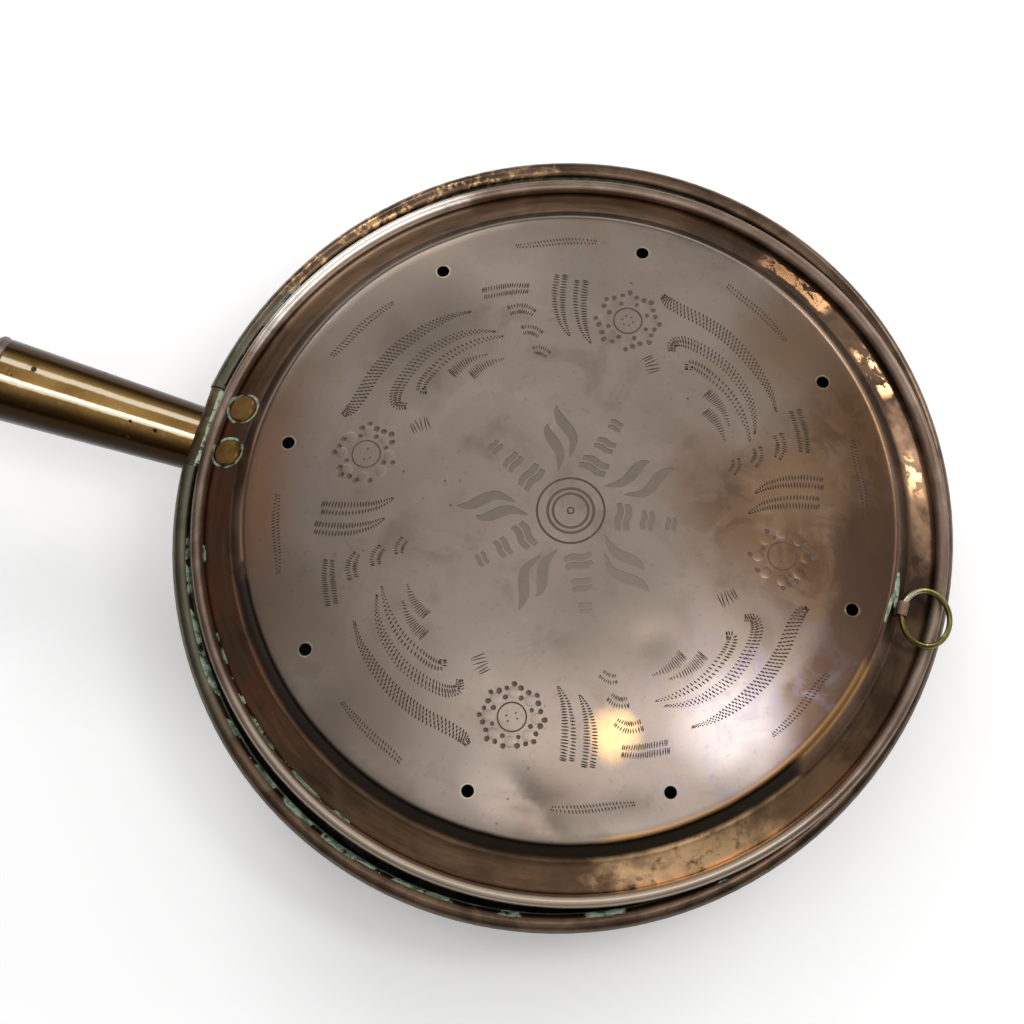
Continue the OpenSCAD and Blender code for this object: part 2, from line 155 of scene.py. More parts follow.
class Wire:
    # an output socket; sums on it lay Math nodes
    def __init__(self, finish, socket):
        self.finish = finish
        self.socket = socket

    def sum(self, operation, first, second):
        return self.finish.add("ShaderNodeMath", {"operation": operation}, {0: first, 1: second})

    def __add__(self, other):
        return self.sum("ADD", self, other)

    def __radd__(self, other):
        return self.sum("ADD", other, self)

    def __sub__(self, other):
        return self.sum("SUBTRACT", self, other)

    def __rsub__(self, other):
        return self.sum("SUBTRACT", other, self)

    def __mul__(self, other):
        return self.sum("MULTIPLY", self, other)

    def __rmul__(self, other):
        return self.sum("MULTIPLY", other, self)

    def __truediv__(self, other):
        return self.sum("DIVIDE", self, other)


def paint(red, green, blue):
    # a colour as read off the real thing, 0 to 255
    linear = []
    for value in (red, green, blue):
        share = value / 255
        linear.append(share / 12.92 if share <= 0.04045 else ((share + 0.055) / 1.055) ** 2.4)
    return (*linear, 1.0)


class Board:
    # a node tree to lay nodes on
    def __init__(self, tree):
        self.tree = tree

    def add(self, kind, settings=None, inputs=None, out=0):
        node = self.tree.nodes.new(kind)
        for key, value in (settings or {}).items():
            setattr(node, key, value)
        for key, value in (inputs or {}).items():
            if isinstance(value, Wire):
                self.tree.links.new(value.socket, node.inputs[key])
            else:
                node.inputs[key].default_value = value
        return Wire(self, node.outputs[out])

    def vector(self, operation, first, second=None, out=0):
        inputs = {0: first} if second is None else {0: first, 1: second}
        return self.add("ShaderNodeVectorMath", {"operation": operation}, inputs, out)

    def partOf(self, vector, axis):
        return self.add("ShaderNodeSeparateXYZ", None, {0: vector}, axis)

    def mix(self, factor, first, second):
        return self.add("ShaderNodeMix", {"data_type": "RGBA"}, {0: factor, 6: first, 7: second}, 2)

    def parted(self, value, low, high, first, second):
        # one colour below low, the other above high
        return self.mix(self.step(value, low, high), paint(*first), paint(*second))

    def step(self, value, low, high, least=0.0, most=1.0):
        # a soft step from least at low to most at high
        return self.add(
            "ShaderNodeMapRange",
            {"interpolation_type": "SMOOTHSTEP"},
            {"Value": value, "From Min": low, "From Max": high, "To Min": least, "To Max": most},
        )


class Finish(Board):
    # middle is the point that directions are seen from
    def __init__(self, name, middle=(0, 0, 0)):
        self.middle = middle
        self.material = bpy.data.materials.new(name)
        self.material.use_nodes = True
        super().__init__(self.material.node_tree)
        self.shader = self.tree.nodes["Principled BSDF"]
        self.place = self.add("ShaderNodeTexCoord", out="Object")
        parts = self.tree.nodes.new("ShaderNodeSeparateXYZ")
        self.tree.links.new(self.place.socket, parts.inputs[0])
        self.x, self.y, self.z = (Wire(self, parts.outputs[i]) for i in range(3))

    def stretched(self, scale):
        return self.add("ShaderNodeMapping", None, {"Vector": self.place, "Scale": scale})

    def cloud(self, size, detail=4.0, roughness=0.6, twist=0.0, place=None):
        # noise whose blots are about size millimetres
        return self.add(
            "ShaderNodeTexNoise",
            None,
            {
                "Vector": place or self.place,
                "Scale": 1 / (size * mm),
                "Detail": detail,
                "Roughness": roughness,
                "Distortion": twist,
            },
        )

    def cells(self, size, place=None, feature="F1"):
        return self.add(
            "ShaderNodeTexVoronoi",
            {"feature": feature},
            {"Vector": place or self.place, "Scale": 1 / (size * mm)},
            "Distance",
        )

    def reach(self, x, y):
        # distance from an upright line through x, y, in metres
        shifted = self.vector("SUBTRACT", self.place, (x, y, 0))
        return self.vector("LENGTH", self.vector("MULTIPLY", shifted, (1, 1, 0)), None, "Value")

    def blot(self, x, y, size, ragged, soft=0.35):
        # 1 within a ragged patch of that size about x, y in millimetres
        far = self.reach(x * mm, y * mm) + (ragged - 0.5) * (size * mm * 1.1)
        return self.step(far, size * mm * (1 + soft), size * mm * (1 - soft))

    def streak(self, x, y, length, width, degrees, ragged):
        # 1 within a long ragged smear about x, y in millimetres
        turn = math.radians(degrees)
        c, s = math.cos(turn), math.sin(turn)
        along = ((self.x - x * mm) * c + (self.y - y * mm) * s) / (length * mm)
        aside = ((self.y - y * mm) * c - (self.x - x * mm) * s) / (width * mm)
        return self.step(along * along + aside * aside + (ragged - 0.5) * 1.2, 1.1, 0.5)

    def sector(self, angle, width, ragged=None, soft=0.03):
        # 1 near the direction angle, in degrees, seen from the middle
        toward = (math.cos(math.radians(angle)), math.sin(math.radians(angle)), 0)
        unit = self.flat()
        along = self.vector("DOT_PRODUCT", unit, toward, "Value")
        if ragged:
            along = along + (ragged - 0.5) * 0.12
        edge = math.cos(math.radians(width))
        return self.step(along, edge - soft, edge + soft)

    def flat(self):
        # the direction from the middle, laid flat
        shifted = self.vector("SUBTRACT", self.place, self.middle)
        return self.vector("NORMALIZE", self.vector("MULTIPLY", shifted, (1, 1, 0)))

    def rings(self, size, far):
        # noise drawn out round the middle, as a lathe or a cloth leaves it
        unit = self.flat()
        x, y = (self.partOf(unit, axis) for axis in ("X", "Y"))
        place = self.add("ShaderNodeCombineXYZ", None, {0: x * 0.012, 1: y * 0.012, 2: far})
        return self.cloud(size, 3, 0.6, 0.0, place)

    def apart(self, value, middle):
        return self.add("ShaderNodeMath", {"operation": "ABSOLUTE"}, {0: value - middle})

    def bump(self, height, depth):
        return self.add("ShaderNodeBump", None, {"Height": height, "Distance": depth, "Strength": 1.0})

    def wear(self, colour, roughness, metallic, normal=None):
        for key, value in (("Base Color", colour), ("Roughness", roughness), ("Metallic", metallic)):
            if isinstance(value, Wire):
                self.tree.links.new(value.socket, self.shader.inputs[key])
            else:
                self.shader.inputs[key].default_value = value
        if normal:
            self.tree.links.new(normal.socket, self.shader.inputs["Normal"])
        return self.material


verdigris = paint(160, 176, 154)
verdigrisDark = paint(74, 92, 72)

# the camera and the studio

# the camera stands 1.6 m from the lid, nearly over it
cameraView = {
    "azimuth": 17.7,
    "tilt": 16.85,
    "distance": 1.6,
    "acrossOffset": -0.02185,
    "upOffset": 0.00914,
    "lens": 147.8,
    "sensor": 36.0,
}
lidLow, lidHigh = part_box("lid")
rollRadius = 2.6 * mm
lidAxis = Vector(((lidLow.x + lidHigh.x) / 2, 0.0, 0.0))
lidCentre = Vector((lidAxis.x, 0.0, lidLow.z + rollRadius))
viewTurn = math.radians(cameraView["azimuth"])
viewAcross = Vector((math.cos(viewTurn), math.sin(viewTurn), 0.0))
viewAway = Vector((-math.sin(viewTurn), math.cos(viewTurn), 0.0))


def makeCamera(view):
    tilt = math.radians(view["tilt"])
    back = -viewAway * math.sin(tilt) + Vector((0.0, 0.0, math.cos(tilt)))
    target = lidCentre + viewAcross * view["acrossOffset"] + viewAway * view["upOffset"]
    bpy.ops.object.camera_add(location=target + back * view["distance"])
    camera = bpy.context.object
    camera.rotation_euler = back.to_track_quat("Z", "Y").to_euler()
    camera.data.lens = view["lens"]
    camera.data.sensor_width = view["sensor"]
    bpy.context.scene.camera = camera


# side is the lamp's direction in the picture, 0 right and 90 up; height is above the horizon
lamps = {
    "glare": {"side": -16, "height": 70.5, "distance": 2.9, "size": (0.42, 0.8), "power": 10},
    "near": {"side": -108.4, "height": 80.4, "distance": 2.84, "size": (1.8, 0.3), "power": 6},
    "farStrip": {"side": 114, "height": 30, "distance": 2.6, "size": (1.2, 0.22), "power": 15},
    "window": {"side": 41, "height": 16, "distance": 2.6, "size": (1.4, 0.4), "power": 26},
    "soft": {"side": 12, "height": 24, "distance": 2.8, "size": (1.0, 0.6), "power": 8},
}
studio = {
    "zenith": 1.05,
    "horizon": 0.16,
    "sideDim": 0.4,  # how bright the sky stays at the sides of the picture
    "floor": 0.93,
    "glow": 0.21,
    "floorSize": 60,
    "floorDrop": 0.2,  # millimetres, to keep the floor clear of the pan's base
}


def makeLamps():
    for name, lamp in lamps.items():
        side = math.radians(lamp["side"])
        height = math.radians(lamp["height"])
        level = viewAcross * math.cos(side) + viewAway * math.sin(side)
        back = level * math.cos(height) + Vector((0, 0, math.sin(height)))
        bpy.ops.object.light_add(type="AREA", location=lidCentre + back * lamp["distance"])
        light = bpy.context.object
        light.name = name + "Lamp"
        light.rotation_euler = back.to_track_quat("Z", "Y").to_euler()
        light.data.shape = "RECTANGLE"
        light.data.size, light.data.size_y = lamp["size"]
        light.data.energy = lamp["power"]


def makeStudio():
    bpy.ops.mesh.primitive_plane_add(size=studio["floorSize"], location=(0, 0, -studio["floorDrop"] * mm))
    floor = bpy.context.object
    floor.name = "floor"
    paper = Finish("floorPaper")
    paper.wear((studio["floor"],) * 3 + (1,), 0.9, 0.0)
    # the paper glows a little where it is seen, also in metal and glass, and keeps the shadow
    ray = paper.tree.nodes.new("ShaderNodeLightPath")
    seen = [Wire(paper, ray.outputs[f"Is {kind} Ray"]) for kind in ("Camera", "Glossy", "Transmission")]
    glow = seen[0] + seen[1] + seen[2]
    paper.shader.inputs["Emission Strength"].default_value = studio["glow"]
    white = paper.mix(glow, (0, 0, 0, 1), (1, 1, 1, 1))
    paper.tree.links.new(white.socket, paper.shader.inputs["Emission Color"])
    floor.data.materials.append(paper.material)
    world = bpy.data.worlds.new("studio")
    bpy.context.scene.world = world
    world.use_nodes = True
    sky = Board(world.node_tree)
    direction = sky.add("ShaderNodeTexCoord", out="Generated")
    height = sky.partOf(direction, "Z")
    rise = sky.step(height, 0.05, 0.85, studio["horizon"], studio["zenith"])
    across = sky.vector("DOT_PRODUCT", direction, viewAcross, "Value")
    aside = sky.add("ShaderNodeMath", {"operation": "ABSOLUTE"}, {0: across})
    strength = rise * sky.step(aside, 0.16, 0.5, 1.0, studio["sideDim"])
    background = sky.tree.nodes["Background"]
    background.inputs["Color"].default_value = (1, 1, 1, 1)
    sky.tree.links.new(strength.socket, background.inputs["Strength"])


makeCamera(cameraView)
makeLamps()
makeStudio()
bpy.context.scene.view_settings.view_transform = "Standard"
print("camera and studio ready")

# the lid: one sheet with its rolled edge, chased flat, then domed

lidSheet = {
    "thick": 0.9,
    "panelRings": 50,
    "panelEdge": 123.83,  # radius where the domed panel turns down
    "edgeHeight": 91.85,
    "stepFoot": (128.53, 83.25),
    "flangeSlope": 0.652,
    "domeRadius": 459.5,
    "rollInner": 1.7,
    "rollFrom": 236.9,  # the sheet turns under here and comes round to the flange again
    "rollTo": 541.0,
    "rollStep": 16,
    "spinSteps": 240,
    # out and up from the panel's edge, and from the foot of the step
    "shoulder": ((-0.9, -0.12), (-0.1, -0.6), (0.55, -1.45), (1.9, -3.9)),
    "foot": ((-0.75, 1.35), (-0.25, 0.55), (0.5, -0.2), (1.5, -0.95)),
    "flangeShares": (0.35, 0.65, 0.88),
    "liningTo": 138.2,
    "sharpFrom": 40,  # degrees
}


def lidOutline(shape):
    edgeR, edgeZ = shape["panelEdge"], shape["edgeHeight"]
    footR, footZ = shape["stepFoot"]
    points = []
    flatR = edgeR - shape["shoulder"][-1][0]
    for i in range(shape["panelRings"] + 1):
        points.append((flatR * i / shape["panelRings"], edgeZ))
    points += [(edgeR + out, edgeZ + up) for out, up in shape["shoulder"]]
    points += [(footR + out, footZ + up) for out, up in shape["foot"]]
    centreR = (lidHigh.x - lidAxis.x - rollRadius) / mm
    centreZ = lidCentre.z / mm
    turn = math.radians(shape["rollFrom"])
    startR = centreR + shape["rollInner"] * math.cos(turn)
    toe = shape["foot"][-1][0]
    for share in shape["flangeShares"]:
        r = footR + toe + (startR - footR - toe) * share
        points.append((r, footZ - shape["flangeSlope"] * (r - footR)))
    degrees = shape["rollFrom"]
    while degrees < shape["rollTo"]:
        turn = math.radians(degrees)
        r = centreR + shape["rollInner"] * math.cos(turn)
        points.append((r, centreZ + shape["rollInner"] * math.sin(turn)))
        degrees += shape["rollStep"]
    return [(lidAxis.x + r * mm, 0.0, z * mm) for r, z in points]


def spinLid(shape):
    lid = drawLine("lidSheet", lidOutline(shape))
    spinRound(lid, shape["spinSteps"], lidAxis)
    low = min(lid.data.polygons, key=lambda face: (face.center - lidAxis).xy.length)
    if low.normal.z < 0:
        flipAll(lid)
    fit(lid, "SOLIDIFY", thickness=shape["thick"] * mm, offset=-1.0, use_even_offset=True)
    return lid


# the ornament is set out for the flower at the top: x to the right, y away from the lid's centre
flowerAt = 80.5
vent = {"ring": 110.73, "diameter": 4.8, "slips": (-0.5, 2.5, 3, -1.5, 1.5, -0.5, -2.5, -8)}

# path: points along the stroke; rows: (offset, tick length, tick width) as a share of the spread
fronds = {
    "long": {
        "path": (
            (13, 94), (16, 91.7), (23, 89.7), (31, 88), (38, 85.5),
            (45, 82), (52, 77.2), (58, 72), (63, 66.5), (66.5, 60.5),
        ),
        "spread": (0.4, 0.9, 1.0, 1.0, 1.05, 1.0, 0.9, 0.7, 0.4, 0.15),
        "rows": ((1.95, 1.6, 0.8), (0.65, 1.5, 0.78), (-0.7, 1.5, 0.78), (-2.0, 1.6, 0.8)),
        "pitch": 1.45, "slant": 110,
    },
    "middle": {
        "path": (
            (22.5, 72), (22, 75.3), (25.5, 77), (31, 76.6), (38, 74.6),
            (45, 71.3), (51, 66.5), (56, 61), (59.5, 54.5), (61, 49),
        ),
        "spread": (0.6, 0.9, 1.1, 1.1, 1.1, 1.0, 0.9, 0.7, 0.4, 0.15),
        "rows": ((1.75, 1.3, 0.62), (0.25, 2.0, 0.78), (-1.4, 1.4, 0.62)),
        "pitch": 1.3, "slant": 108,
    },
    "inner": {
        "path": (
            (30.6, 66.4), (30.6, 68.6), (34.5, 68.2), (39, 66.4), (45, 63.4),
            (50, 59.5), (54.5, 54.6), (58, 49.5), (60, 45.5),
        ),
        "spread": (0.7, 1.0, 1.1, 1.1, 1.0, 0.9, 0.7, 0.4, 0.15),
        "rows": ((1.25, 1.9, 0.75), (-0.95, 1.7, 0.68)),
        "pitch": 1.3, "slant": 108,
    },
    "outerRight": {
        "path": ((35.5, 106), (41, 103), (47, 100.3), (53, 97), (58, 93.7), (62.5, 90.3)),
        "spread": (0.7, 1.0, 1.0, 1.0, 0.8, 0.5),
        "rows": ((0.9, 1.6, 0.62), (-0.9, 1.6, 0.62)),
        "pitch": 1.25, "slant": 108,
    },
    "outerLeft": {
        "path": ((-52, 98.3), (-45, 101), (-38, 104), (-31, 106.5), (-23, 108.3)),
        "spread": (0.5, 0.9, 1.0, 1.0, 0.6),
        "rows": ((0.9, 1.6, 0.62), (-0.9, 1.6, 0.62)),
        "pitch": 1.25, "slant": 110,
    },
    "featherFar": {
        "path": ((-32, 90.5), (-31, 83.5), (-29, 76.5), (-25.8, 70.5), (-22, 66.2)),
        "spread": (1.1, 1.15, 1.0, 0.7, 0.15),
        "rows": ((1.4, 2.4, 0.75), (-1.4, 2.2, 0.75)),
        "pitch": 1.05, "slant": 84,
    },
    "featherNear": {
        "path": ((-24, 90.3), (-22.8, 83.5), (-20.5, 76), (-17.5, 70), (-13.5, 65.3)),
        "spread": (1.1, 1.15, 1.0, 0.7, 0.15),
        "rows": ((1.5, 2.7, 0.75), (-1.4, 2.0, 0.75)),
        "pitch": 1.05, "slant": 84,
    },
    "stepOne": {
        "path": ((-58.5, 75), (-53, 77.8), (-48, 80), (-42.5, 81.5)),
        "spread": (1.0, 1.0, 1.0, 0.8),
        "rows": ((1.5, 2.6, 0.6), (-1.6, 2.5, 0.6)),
        "pitch": 0.85, "slant": 80,
    },
    "stepTwo": {
        "path": ((-47, 70.3), (-44, 72.2), (-41, 72.7), (-37.5, 72)),
        "spread": (1.0, 1.0, 1.0, 0.7),
        "rows": ((1.3, 2.2, 0.58), (-1.4, 2.0, 0.56)),
        "pitch": 0.85, "slant": 88,
    },
    "stepThree": {
        "path": ((-39.8, 63.6), (-37.5, 64.7), (-35, 64.6), (-32.8, 63.6)),
        "spread": (1.0, 1.0, 1.0, 0.9),
        "rows": ((1.3, 1.9, 0.52), (-1.3, 1.8, 0.5)),
        "pitch": 0.75, "slant": 92,
    },
    "stepFour": {
        "path": ((-33.4, 56.6), (-31.6, 57.3), (-29.6, 57.1), (-27.6, 56.3)),
        "spread": (0.9, 1.0, 1.0, 0.9),
        "rows": ((1.25, 1.6, 0.48), (-1.25, 1.5, 0.46)),
        "pitch": 0.68, "slant": 94,
    },
    "hookUpper": {
        "path": ((39.5, 59.3), (43.5, 57.4), (47.5, 54), (51, 49)),
        "spread": (1.1, 1.0, 0.7, 0.15),
        "rows": ((0.0, 4.6, 0.5),),
        "pitch": 0.95, "slant": 84,
    },
    "hookLower": {
        "path": ((41, 51.8), (44.5, 50), (48, 46.8), (51, 42.5)),
        "spread": (1.1, 1.0, 0.7, 0.15),
        "rows": ((0.0, 4.4, 0.5),),
        "pitch": 0.95, "slant": 84,
    },
    "sprig": {
        "path": ((14.2, 66.8), (16.3, 64.6), (18.2, 61.8)),
        "spread": (0.8, 1.0, 1.0),
        "rows": ((0.0, 6.0, 0.55),),
        "pitch": 1.25, "slant": 88,
    },
}
# the work was set out by eye and is worn: how far each quarter's right and left sprays slipped,
# and the share of its flower's dots that can still be made out
quarters = (
    {"turn": 91.8, "slipRight": (-3, 1), "slipLeft": (2.5, 2), "kept": 0.85},
    {"turn": 6.4, "slipRight": (4, -0.8), "slipLeft": (0, 0), "kept": 0.4},
    {"turn": 271.9, "slipRight": (0, 0.3), "slipLeft": (0, 0), "kept": 0.95},
    {"turn": 180.1, "slipRight": (0, 0), "slipLeft": (-0.5, -0.3), "kept": 0.45},
)


def alongPath(points, share):
    # a smooth curve through the points, as place and direction
    spans = len(points) - 1
    i = min(int(share * spans), spans - 1)
    t = share * spans - i
    near = [Vector(points[max(0, min(spans, k))]) for k in (i - 1, i, i + 1, i + 2)]
    a, b, c, d = near
    bend, twist = 2 * a - 5 * b + 4 * c - d, 3 * b - a - 3 * c + d
    place = 0.5 * (2 * b + (c - a) * t + bend * t * t + twist * t ** 3)
    lean = 0.5 * ((c - a) + 2 * bend * t + 3 * twist * t * t)
    return place, lean.normalized()


def spreadAt(values, share):
    spans = len(values) - 1
    i = min(int(share * spans), spans - 1)
    return values[i] + (values[i + 1] - values[i]) * (share * spans - i)


def pathLength(points):
    places = [alongPath(points, i / 60)[0] for i in range(61)]
    return sum((b - a).length for a, b in zip(places, places[1:]))


markTool = {"depth": 0.26, "above": 0.26, "sides": 6, "tip": 0.2}


def makeMark(tool):
    # the chisel's own dint: one unit long and wide where it meets the sheet
    rise = (0.5 - tool["tip"]) / tool["depth"] * tool["above"]
    deselect()
    bpy.ops.mesh.primitive_cone_add(
        vertices=tool["sides"],
        radius1=tool["tip"],
        radius2=0.5 + rise,
        depth=tool["depth"] + tool["above"],
        location=(0, 0, (tool["above"] - tool["depth"]) / 2),
    )
    mark = bpy.context.object
    settle(mark)
    return inSlot(mark, 2)


def placeCopy(source, matrix):
    copy = source.copy()
    copy.data = source.data.copy()
    copy.data.transform(matrix)
    bpy.context.collection.objects.link(copy)
    return copy


def strike(mark, x, y, turn, length, width, deep=1.0):
    matrix = Matrix.Translation((x, y, 0)) @ Matrix.Rotation(turn, 4, "Z")
    return placeCopy(mark, matrix @ Matrix.Diagonal((length, width, deep, 1)))


def strikeFrond(mark, frond):
    struck = []
    reach = pathLength(frond["path"])
    count = max(2, round(reach / frond["pitch"]))
    slant = math.radians(frond["slant"])
    for row, (offset, length, width) in enumerate(frond["rows"]):
        # every other row stands half a pitch along
        for i in range(count + 1 - row % 2):
            share = (i + 0.5 * (row % 2)) / count
            full = spreadAt(frond["spread"], share)
            place, lean = alongPath(frond["path"], share)
            aside = Vector((-lean.y, lean.x))
            x, y = place + aside * offset * full
            turn = math.atan2(lean.y, lean.x) + slant + chance.uniform(-0.08, 0.08)
            long = max(0.55, length * full * chance.uniform(0.95, 1.2))
            struck.append(strike(mark, x, y, turn, long, width * 0.85, chance.uniform(0.75, 1.05)))
    return struck


flower = {
    "ring": 5.35,
    "ringWidth": 0.3,
    "petals": 8,
    "petalAt": 9.1,
    "dotAt": 3.05,
    "dots": (-62, 0, 62),
    "betweenAt": 7.7,
    "dotWide": 2.4,
    "heartDots": 6,
    "heartAt": 2.1,
    "petalWide": 2.4,
    "petalHigh": 0.1,
}


def strikeFlower(mark, shape, kept):
    heart = Vector((0, flowerAt))
    dots = []
    for i in range(shape["petals"]):
        turn = fullTurn * (i + 0.25) / shape["petals"]
        petal = heart + Vector((math.cos(turn), math.sin(turn))) * shape["petalAt"]
        for dot in shape["dots"]:
            out = turn + math.radians(dot) + chance.uniform(-0.1, 0.1)
            place = petal + Vector((math.cos(out), math.sin(out))) * shape["dotAt"]
            dots.append((place, shape["dotWide"], 1.0))
        between = turn + math.pi / shape["petals"]
        place = heart + Vector((math.cos(between), math.sin(between))) * shape["betweenAt"]
        dots.append((place, shape["dotWide"] * 0.9, 0.8))
    for i in range(shape["heartDots"]):
        turn = fullTurn * i / shape["heartDots"]
        dots.append((heart + Vector((math.cos(turn), math.sin(turn))) * shape["heartAt"], 1.0, 0.6))
    struck = []
    for place, wide, deep in dots:
        wide = wide * chance.uniform(0.85, 1.1)
        deep = deep * chance.uniform(0.7, 1.2)
        if chance.random() < kept:
            struck.append(strike(mark, *place, chance.uniform(0, 3), wide, wide * 0.92, deep))
    struck.append(strikeRing(*heart, shape["ring"], shape["ringWidth"], 0.22 if kept > 0.5 else 0.13))
    return struck


def strikeRing(x, y, radius, width, depth):
    # a ring cut by a round wire laid on the sheet
    deselect()
    lift = (width * width - depth * depth) / (2 * depth)
    bpy.ops.mesh.primitive_torus_add(
        location=(x, y, lift),
        major_segments=72,
        minor_segments=12,
        major_radius=radius,
        minor_radius=lift + depth,
    )
    ring = bpy.context.object
    settle(ring)
    return inSlot(ring, 2)


rosette = {
    "rings": ((12.6, 0.38, 0.22), (8.6, 0.75, 0.14), (6.6, 0.6, 0.13), (1.15, 0.3, 0.25)),
    "leafTurns": (116, 43, -28, -101, 193),
    "blockTurns": (79, 8.5, -66, -135, 154),
    "blocks": ((19.4, 10.4, 2.6), (28.6, 7.4, 2.2), (37.6, 5.0, 1.8)),
    "nearLeaf": ((15.8, 2.3), (21.6, 0.6), (25.6, 1.2), (29.3, 2.8), (32.9, 3.8), (35.2, 3.1)),
    "farLeaf": ((20.6, -2.8), (26.9, -5.4), (31.2, -4.5), (35.7, -2.2), (39.3, -1.2), (42.4, -1.3)),
    "leafWide": (0.3, 3.2, 4.1, 4.1, 2.6, 0.3),
    "blockWide": (0.8, 1.0, 1.0, 0.7),
    "cut": 0.17,
}


def inSlot(obj, slot):
    for material in lidSlots:
        obj.data.materials.append(material)
    for face in obj.data.polygons:
        face.material_index = slot
    return obj


def cutBand(name, path, widths, depth, above=0.3):
    # a flat strip laid along the path, then drawn down into a solid
    deselect()
    bpy.ops.mesh.primitive_grid_add(x_subdivisions=20, y_subdivisions=1, size=1.0)
    band = bpy.context.object
    band.name = name
    for vertex in band.data.vertices:
        share = min(1.0, max(0.0, vertex.co.x + 0.5))
        place, lean = alongPath(path, share)
        aside = Vector((-lean.y, lean.x)) * spreadAt(widths, share) * (0.5 if vertex.co.y > 0 else -0.5)
        vertex.co = (place.x + aside.x, place.y + aside.y, above)
    edit(band)
    bpy.ops.mesh.extrude_region_move(TRANSFORM_OT_translate={"value": (0, 0, -above - depth)})
    bpy.ops.mesh.select_all(action="SELECT")
    bpy.ops.mesh.normals_make_consistent(inside=False)
    leaveEdit()
    return inSlot(band, 3)


def turned(points, degrees):
    turn = math.radians(degrees)
    c, s = math.cos(turn), math.sin(turn)
    return [(x * c - y * s, x * s + y * c) for x, y in points]


def strikeRosette(shape, frameTurn=1.8):
    cuts = []
    for radius, width, depth in shape["rings"]:
        cuts.append(strikeRing(0, 0, radius, width, depth))
    for turn in shape["leafTurns"]:
        for key in ("nearLeaf", "farLeaf"):
            path = turned(shape[key], turn + frameTurn + chance.uniform(-2, 2))
            cuts.append(cutBand(key, path, shape["leafWide"], shape["cut"]))
    for turn in shape["blockTurns"]:
        for out, wide, deep in shape["blocks"]:
            for side in (-1, 1):
                mid = out + side * (deep * 0.5 + 0.3)
                bow = 0.07 * wide
                path = [(mid + bow, -wide / 2), (mid, -wide / 5)]
                path += [(mid + bow, wide / 6), (mid - bow * 0.4, wide / 2)]
                path = turned(path, turn + frameTurn)
                widths = [deep * share for share in shape["blockWide"]]
                cuts.append(cutBand("block", path, widths, shape["cut"]))
    return cuts


def chaseOrnament():
    mark = makeMark(markTool)
    right, left = [], []
    for frond in fronds.values():
        side = right if frond["path"][0][0] > 0 else left
        side += strikeFrond(mark, frond)
    right, left = (joinAll("sprayMarks", marks) for marks in (right, left))
    cuts = strikeRosette(rosette)
    for quarter in quarters:
        spin = Matrix.Rotation(math.radians(quarter["turn"] - 90), 4, "Z")
        blossom = joinAll("flowerMarks", strikeFlower(mark, flower, quarter["kept"]))
        blossom.data.transform(spin)
        cuts.append(blossom)
        cuts.append(placeCopy(right, spin @ Matrix.Translation((*quarter["slipRight"], 0))))
        cuts.append(placeCopy(left, spin @ Matrix.Translation((*quarter["slipLeft"], 0))))
    for obj in (right, left, mark):
        bpy.data.objects.remove(obj)
    return joinAll("ornamentMarks", cuts)


def drillVents(shape):
    drills = []
    for i, slip in enumerate(shape["slips"]):
        turn = math.radians(45 * i + slip)
        deselect()
        bpy.ops.mesh.primitive_cylinder_add(
            vertices=32,
            radius=shape["diameter"] / 2,
            depth=6,
            location=(shape["ring"] * math.cos(turn), shape["ring"] * math.sin(turn), 0),
        )
        settle(bpy.context.object)
        drills.append(inSlot(bpy.context.object, 0))
    return joinAll("ventDrills", drills)


def raisePetals(shape):
    # low round bosses raised round each flower, beaten up from below
    deselect()
    bpy.ops.mesh.primitive_uv_sphere_add(segments=20, ring_count=12, radius=1.0)
    boss = bpy.context.object
    boss.scale = (shape["petalWide"], shape["petalWide"], shape["petalHigh"] * 1.5)
    boss.location.z = -shape["petalHigh"] * 0.5
    settle(boss)
    inSlot(boss, 4)
    bosses = []
    for quarter in quarters:
        spin = Matrix.Rotation(math.radians(quarter["turn"] - 90), 4, "Z")
        for i in range(shape["petals"]):
            turn = fullTurn * (i + 0.25) / shape["petals"]
            x, y = shape["petalAt"] * math.cos(turn), flowerAt + shape["petalAt"] * math.sin(turn)
            bosses.append(placeCopy(boss, spin @ Matrix.Translation((x, y, 0))))
    bpy.data.objects.remove(boss)
    return joinAll("petalBosses", bosses)


# dents: place on the lid in millimetres, size, depth (down is positive), stretch and direction
dents = (
    (11, -106, 13, 0.45, 1.6, 350),
    (36, -108, 20, -0.5, 2.2, 15),
    (52, -104, 12, 0.55, 2.0, 25),
    (-70, -103, 13, 0.9, 1.3, 320),
    (-60, -92, 20, 0.35, 1.4, 320),
    (44, -37, 9, 0.3, 1.0, 0),
    (70, -60, 26, -0.45, 1.4, 60),
    (86, -48, 16, 0.5, 1.6, 70),
    (-2, -92, 15, -0.4, 1.5, 0),
    (24, -84, 16, 0.35, 1.3, 30),
    (60, 30, 22, 0.3, 1.3, 100),
    (80, 10, 14, -0.3, 1.5, 100),
    (-40, 40, 30, 0.35, 1.2, 40),
    (-85, 30, 18, -0.35, 1.6, 90),
    (20, 62, 20, 0.3, 1.4, 0),
    (-30, -40, 28, 0.3, 1.3, 120),
    (95, -66, 8, 0.16, 1.0, 0),
    (84, -74, 9, -0.16, 1.6, 60),
    (100, -42, 10, 0.2, 1.5, 100),
    (74, -52, 7, 0.14, 1.0, 0),
    (50, -84, 9, 0.16, 1.4, 40),
)


# creases: two ends of a fold, its depth and how far its sides reach
creases = (
    ((8, -100), (34, -118), 0.85, 6),
    ((4, -112), (30, -104), 0.5, 5),
)


# how uneven the sheet is all over: size, place in the noise, height
unevenness = ((42, 3.1, 0.34), (15, 8.7, 0.07))
# the dents fade out before the roll and leave the very centre as it is
dentFade = {"rim": 137.0, "rimWidth": 10.0, "centreWidth": 12.0}


